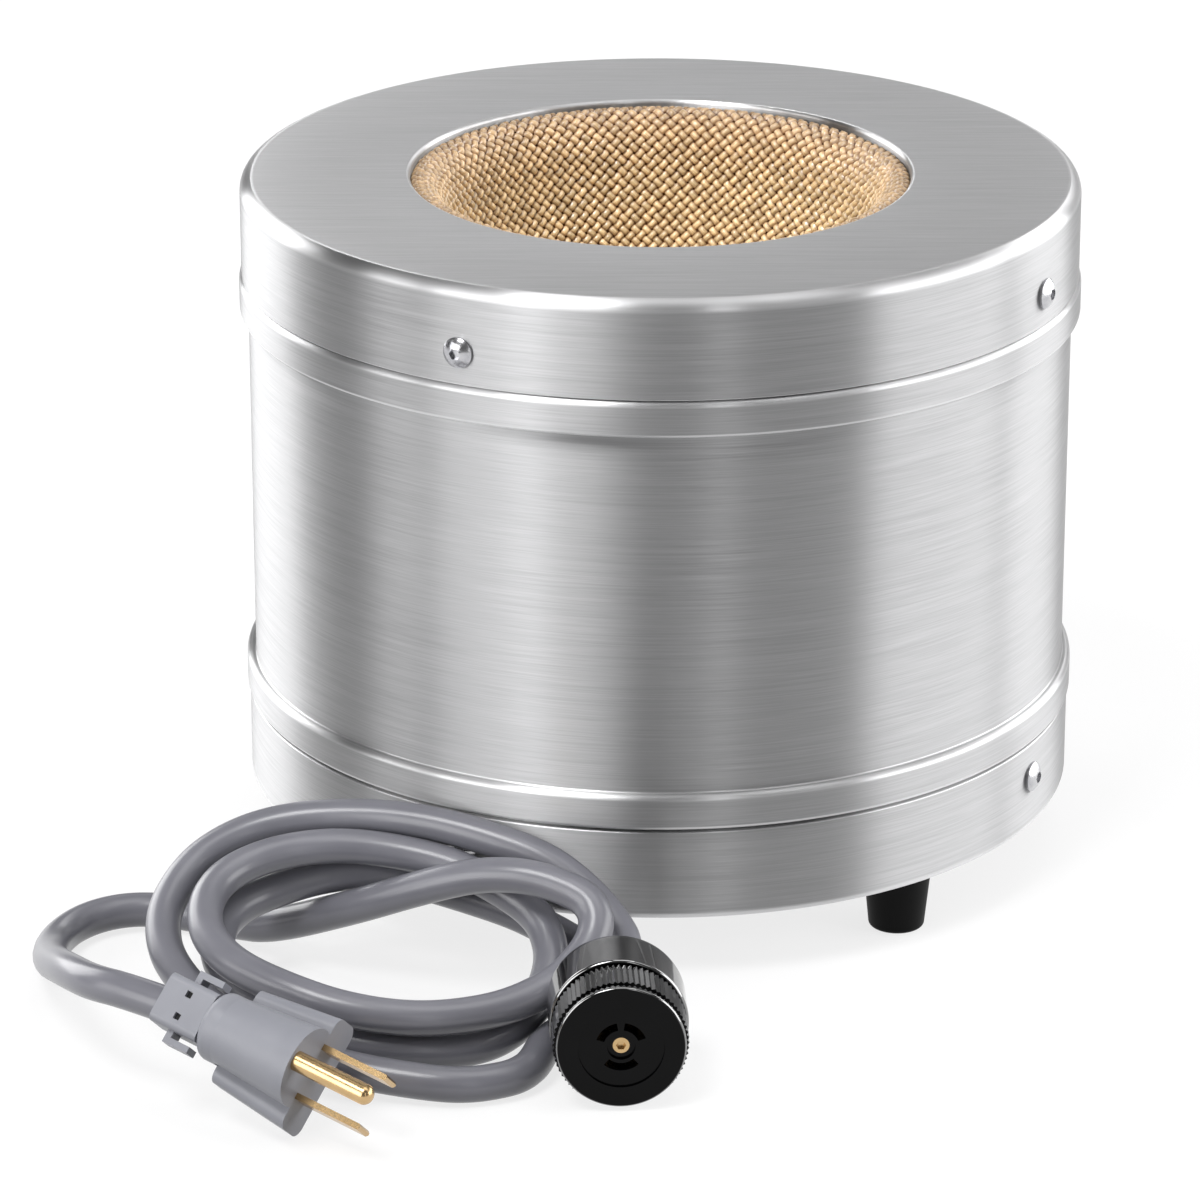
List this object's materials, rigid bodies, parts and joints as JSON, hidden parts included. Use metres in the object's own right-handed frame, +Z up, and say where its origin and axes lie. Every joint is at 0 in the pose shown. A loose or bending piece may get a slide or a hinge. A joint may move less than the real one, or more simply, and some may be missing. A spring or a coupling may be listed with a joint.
{
  "type": "heating mantle",
  "caption": "Round metal laboratory heater with a woven hemispherical well for a round-bottom flask, standing on rubber feet, with its detachable power cord.",
  "frame": {"origin": "centre of the base, on the surface that the feet stand on", "axes": "+Z up along the housing's axis, +Y towards the power inlet on the rear, -Y towards the coiled cord"},
  "size_m": [0.2588, 0.3171, 0.174],
  "materials": {
    "brushed_aluminium": "satin brushed sheet",
    "screw_steel": "satin steel",
    "black_rubber": "matte",
    "woven_glass": "woven golden glass yarn",
    "resistance_wire": "dull drawn wire",
    "white_wool": "matte fibre",
    "black_moulding": "glossy",
    "grey_moulding": "satin",
    "grey_cord": "satin jacket",
    "lead_sleeve": "matte glass sleeving",
    "brass": "satin"
  },
  "bodies": {
    "root": {"top_cover": "brushed_aluminium", "body_shell": "brushed_aluminium", "bottom_cover": "brushed_aluminium", "top_cover_screws": "screw_steel", "bottom_cover_screws": "screw_steel", "rubber_foot_1": "black_rubber", "rubber_foot_2": "black_rubber", "rubber_foot_3": "black_rubber", "foot_screws": "screw_steel", "foot_washers": "screw_steel", "foot_nuts": "screw_steel", "woven_liner": "woven_glass", "heating_element": "resistance_wire", "backing_cloth": "woven_glass", "insulation_collar": "white_wool", "insulation_base": "white_wool", "inlet_body": "black_moulding", "inlet_live_blade": "brass", "inlet_neutral_blade": "brass", "inlet_ground_blade": "brass", "inlet_screws": "screw_steel", "inlet_nuts": "screw_steel", "inlet_terminal_screws": "brass", "live_lead": "lead_sleeve", "neutral_lead": "lead_sleeve", "ground_lead": "lead_sleeve", "ground_lug": "brass", "cord_coil": "grey_cord", "plug_lead": "grey_cord", "connector_lead": "grey_cord", "plug_body": "grey_moulding", "plug_clamp": "grey_moulding", "plug_live_blade": "brass", "plug_neutral_blade": "brass", "plug_ground_pin": "brass", "connector_body": "black_moulding", "connector_cap": "black_moulding", "connector_screw": "brass", "connector_live_contact": "brass", "connector_neutral_contact": "brass", "connector_ground_contact": "brass"}
  },
  "joints": []
}
